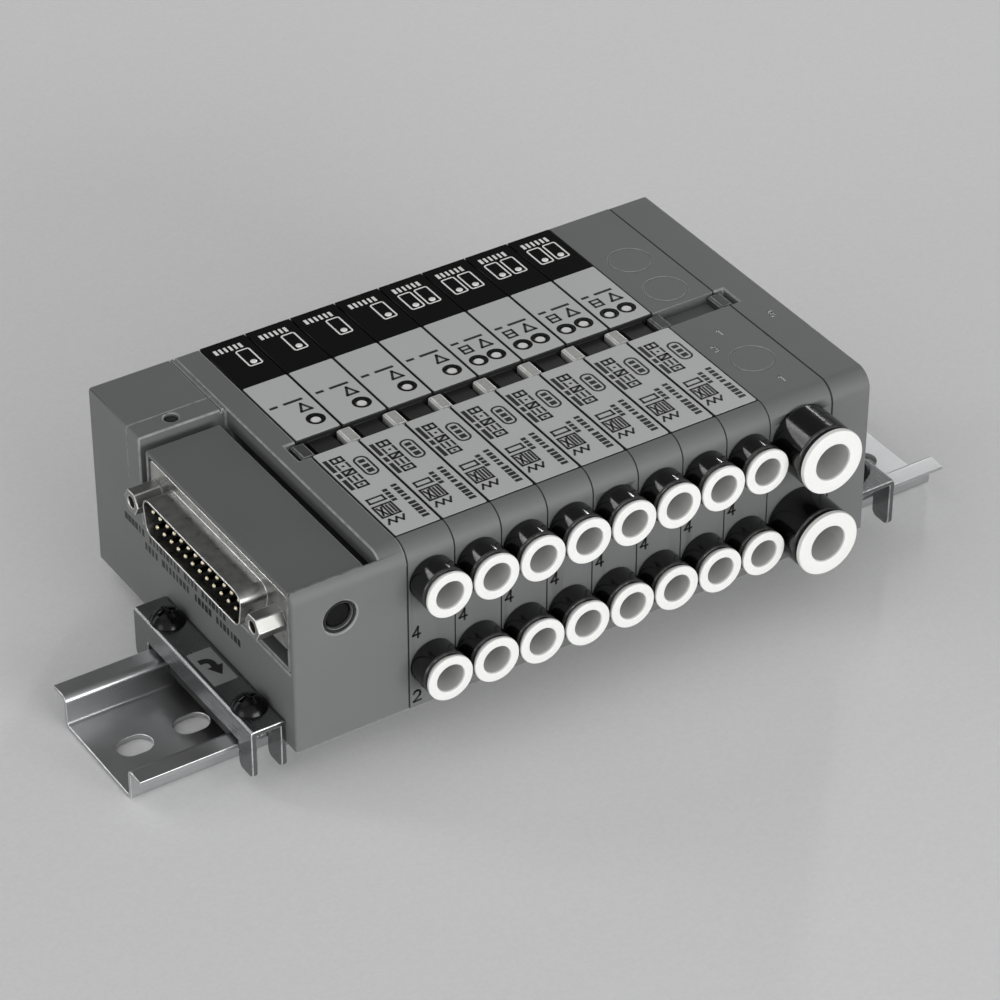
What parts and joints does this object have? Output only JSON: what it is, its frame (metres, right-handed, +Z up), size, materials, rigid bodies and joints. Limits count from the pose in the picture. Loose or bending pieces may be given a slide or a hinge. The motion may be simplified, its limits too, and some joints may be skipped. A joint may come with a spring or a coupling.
{
  "type": "pneumatic valve island",
  "caption": "Rail-mounted valve island with a turning multi-pole plug, push-in tube ports in two rows, press overrides and clamped feet.",
  "frame": {"origin": "middle of the rail's underside, on its row of slots", "axes": "+X along the rail towards the supply ports, +Y from the tube ports to the back, +Z up"},
  "size_m": [0.191, 0.0905, 0.0468],
  "materials": {
    "block_grey": "fine moulded texture, dark grey",
    "valve_dark": "fine moulded texture, near black",
    "housing_grey": "fine moulded texture, dark grey",
    "window_black": "glossy smoked",
    "fitting_black": "glossy black",
    "ring_white": "satin white",
    "button_white": "satin white",
    "bush_black": "satin black",
    "clip_white": "natural white",
    "clip_grey": "dark grey",
    "rail_zinc": "bright zinc plate",
    "clamp_zinc": "bright zinc plate",
    "cast_dark": "dark cast",
    "screw_black": "black oxide",
    "plug_tin": "tinned steel",
    "insulator_black": "satin black",
    "pin_gold": "gold flash",
    "post_nickel": "nickel plate"
  },
  "bodies": {
    "island": {"din_rail": "rail_zinc", "wiring_block": "block_grey", "manifold_blocks": "block_grey", "supply_block": "block_grey", "end_block": "block_grey", "valve_1": "valve_dark", "valve_2": "valve_dark", "valve_3": "valve_dark", "valve_4": "valve_dark", "valve_5": "valve_dark", "valve_6": "valve_dark", "valve_7": "valve_dark", "valve_8": "valve_dark", "indicator_windows": "window_black", "valve_joint_clips": "clip_white", "end_joint_clips": "clip_grey", "override_bushes": "bush_black", "small_fittings": "fitting_black", "large_fittings": "fitting_black", "rail_clamp_left": "clamp_zinc", "rail_clamp_right": "clamp_zinc", "clamp_block_left": "cast_dark", "clamp_block_right": "cast_dark", "clamp_screws": "screw_black"},
    "connector": {"connector_housing": "housing_grey", "plug_shell": "plug_tin", "plug_insulator": "insulator_black", "plug_pins": "pin_gold", "jack_posts": "post_nickel"},
    "lock_pin": {"lock_pin": "bush_black"},
    "override_1a": {"override_1a": "button_white"},
    "override_2a": {"override_2a": "button_white"},
    "override_3a": {"override_3a": "button_white"},
    "override_4a": {"override_4a": "button_white"},
    "override_5a": {"override_5a": "button_white"},
    "override_5b": {"override_5b": "button_white"},
    "override_6a": {"override_6a": "button_white"},
    "override_6b": {"override_6b": "button_white"},
    "override_7a": {"override_7a": "button_white"},
    "override_7b": {"override_7b": "button_white"},
    "override_8a": {"override_8a": "button_white"},
    "override_8b": {"override_8b": "button_white"},
    "release_ring_1a": {"release_ring_1a": "ring_white"},
    "release_ring_1b": {"release_ring_1b": "ring_white"},
    "release_ring_2a": {"release_ring_2a": "ring_white"},
    "release_ring_2b": {"release_ring_2b": "ring_white"},
    "release_ring_3a": {"release_ring_3a": "ring_white"},
    "release_ring_3b": {"release_ring_3b": "ring_white"},
    "release_ring_4a": {"release_ring_4a": "ring_white"},
    "release_ring_4b": {"release_ring_4b": "ring_white"},
    "release_ring_5a": {"release_ring_5a": "ring_white"},
    "release_ring_5b": {"release_ring_5b": "ring_white"},
    "release_ring_6a": {"release_ring_6a": "ring_white"},
    "release_ring_6b": {"release_ring_6b": "ring_white"},
    "release_ring_7a": {"release_ring_7a": "ring_white"},
    "release_ring_7b": {"release_ring_7b": "ring_white"},
    "release_ring_8a": {"release_ring_8a": "ring_white"},
    "release_ring_8b": {"release_ring_8b": "ring_white"},
    "release_ring_supply": {"release_ring_supply": "ring_white"},
    "release_ring_exhaust": {"release_ring_exhaust": "ring_white"}
  },
  "joints": [
    {"name": "housing_turn", "type": "hinge", "parent": "island", "child": "connector", "pos_m": [-0.0564, 0.00195, 0.0367], "axis": [0, 1, 0], "range_deg": [0, 90]},
    {"name": "lock_press", "type": "slide", "parent": "connector", "child": "lock_pin", "axis": [0, 1, 0], "range_m": [0, 0.0012], "stiffness_N_per_m": 500},
    {"name": "override_1a_press", "type": "slide", "parent": "island", "child": "override_1a", "axis": [0, 0, -1], "range_m": [0, 0.001], "stiffness_N_per_m": 400},
    {"name": "override_2a_press", "type": "slide", "parent": "island", "child": "override_2a", "axis": [0, 0, -1], "range_m": [0, 0.001], "stiffness_N_per_m": 400},
    {"name": "override_3a_press", "type": "slide", "parent": "island", "child": "override_3a", "axis": [0, 0, -1], "range_m": [0, 0.001], "stiffness_N_per_m": 400},
    {"name": "override_4a_press", "type": "slide", "parent": "island", "child": "override_4a", "axis": [0, 0, -1], "range_m": [0, 0.001], "stiffness_N_per_m": 400},
    {"name": "override_5a_press", "type": "slide", "parent": "island", "child": "override_5a", "axis": [0, 0, -1], "range_m": [0, 0.001], "stiffness_N_per_m": 400},
    {"name": "override_5b_press", "type": "slide", "parent": "island", "child": "override_5b", "axis": [0, 0, -1], "range_m": [0, 0.001], "stiffness_N_per_m": 400},
    {"name": "override_6a_press", "type": "slide", "parent": "island", "child": "override_6a", "axis": [0, 0, -1], "range_m": [0, 0.001], "stiffness_N_per_m": 400},
    {"name": "override_6b_press", "type": "slide", "parent": "island", "child": "override_6b", "axis": [0, 0, -1], "range_m": [0, 0.001], "stiffness_N_per_m": 400},
    {"name": "override_7a_press", "type": "slide", "parent": "island", "child": "override_7a", "axis": [0, 0, -1], "range_m": [0, 0.001], "stiffness_N_per_m": 400},
    {"name": "override_7b_press", "type": "slide", "parent": "island", "child": "override_7b", "axis": [0, 0, -1], "range_m": [0, 0.001], "stiffness_N_per_m": 400},
    {"name": "override_8a_press", "type": "slide", "parent": "island", "child": "override_8a", "axis": [0, 0, -1], "range_m": [0, 0.001], "stiffness_N_per_m": 400},
    {"name": "override_8b_press", "type": "slide", "parent": "island", "child": "override_8b", "axis": [0, 0, -1], "range_m": [0, 0.001], "stiffness_N_per_m": 400},
    {"name": "release_ring_1a_press", "type": "slide", "parent": "island", "child": "release_ring_1a", "axis": [0, 1, 0], "range_m": [0, 0.0007], "stiffness_N_per_m": 600},
    {"name": "release_ring_1b_press", "type": "slide", "parent": "island", "child": "release_ring_1b", "axis": [0, 1, 0], "range_m": [0, 0.0007], "stiffness_N_per_m": 600},
    {"name": "release_ring_2a_press", "type": "slide", "parent": "island", "child": "release_ring_2a", "axis": [0, 1, 0], "range_m": [0, 0.0007], "stiffness_N_per_m": 600},
    {"name": "release_ring_2b_press", "type": "slide", "parent": "island", "child": "release_ring_2b", "axis": [0, 1, 0], "range_m": [0, 0.0007], "stiffness_N_per_m": 600},
    {"name": "release_ring_3a_press", "type": "slide", "parent": "island", "child": "release_ring_3a", "axis": [0, 1, 0], "range_m": [0, 0.0007], "stiffness_N_per_m": 600},
    {"name": "release_ring_3b_press", "type": "slide", "parent": "island", "child": "release_ring_3b", "axis": [0, 1, 0], "range_m": [0, 0.0007], "stiffness_N_per_m": 600},
    {"name": "release_ring_4a_press", "type": "slide", "parent": "island", "child": "release_ring_4a", "axis": [0, 1, 0], "range_m": [0, 0.0007], "stiffness_N_per_m": 600},
    {"name": "release_ring_4b_press", "type": "slide", "parent": "island", "child": "release_ring_4b", "axis": [0, 1, 0], "range_m": [0, 0.0007], "stiffness_N_per_m": 600},
    {"name": "release_ring_5a_press", "type": "slide", "parent": "island", "child": "release_ring_5a", "axis": [0, 1, 0], "range_m": [0, 0.0007], "stiffness_N_per_m": 600},
    {"name": "release_ring_5b_press", "type": "slide", "parent": "island", "child": "release_ring_5b", "axis": [0, 1, 0], "range_m": [0, 0.0007], "stiffness_N_per_m": 600},
    {"name": "release_ring_6a_press", "type": "slide", "parent": "island", "child": "release_ring_6a", "axis": [0, 1, 0], "range_m": [0, 0.0007], "stiffness_N_per_m": 600},
    {"name": "release_ring_6b_press", "type": "slide", "parent": "island", "child": "release_ring_6b", "axis": [0, 1, 0], "range_m": [0, 0.0007], "stiffness_N_per_m": 600},
    {"name": "release_ring_7a_press", "type": "slide", "parent": "island", "child": "release_ring_7a", "axis": [0, 1, 0], "range_m": [0, 0.0007], "stiffness_N_per_m": 600},
    {"name": "release_ring_7b_press", "type": "slide", "parent": "island", "child": "release_ring_7b", "axis": [0, 1, 0], "range_m": [0, 0.0007], "stiffness_N_per_m": 600},
    {"name": "release_ring_8a_press", "type": "slide", "parent": "island", "child": "release_ring_8a", "axis": [0, 1, 0], "range_m": [0, 0.0007], "stiffness_N_per_m": 600},
    {"name": "release_ring_8b_press", "type": "slide", "parent": "island", "child": "release_ring_8b", "axis": [0, 1, 0], "range_m": [0, 0.0007], "stiffness_N_per_m": 600},
    {"name": "release_ring_supply_press", "type": "slide", "parent": "island", "child": "release_ring_supply", "axis": [0, 1, 0], "range_m": [0, 0.0008], "stiffness_N_per_m": 600},
    {"name": "release_ring_exhaust_press", "type": "slide", "parent": "island", "child": "release_ring_exhaust", "axis": [0, 1, 0], "range_m": [0, 0.0008], "stiffness_N_per_m": 600}
  ]
}
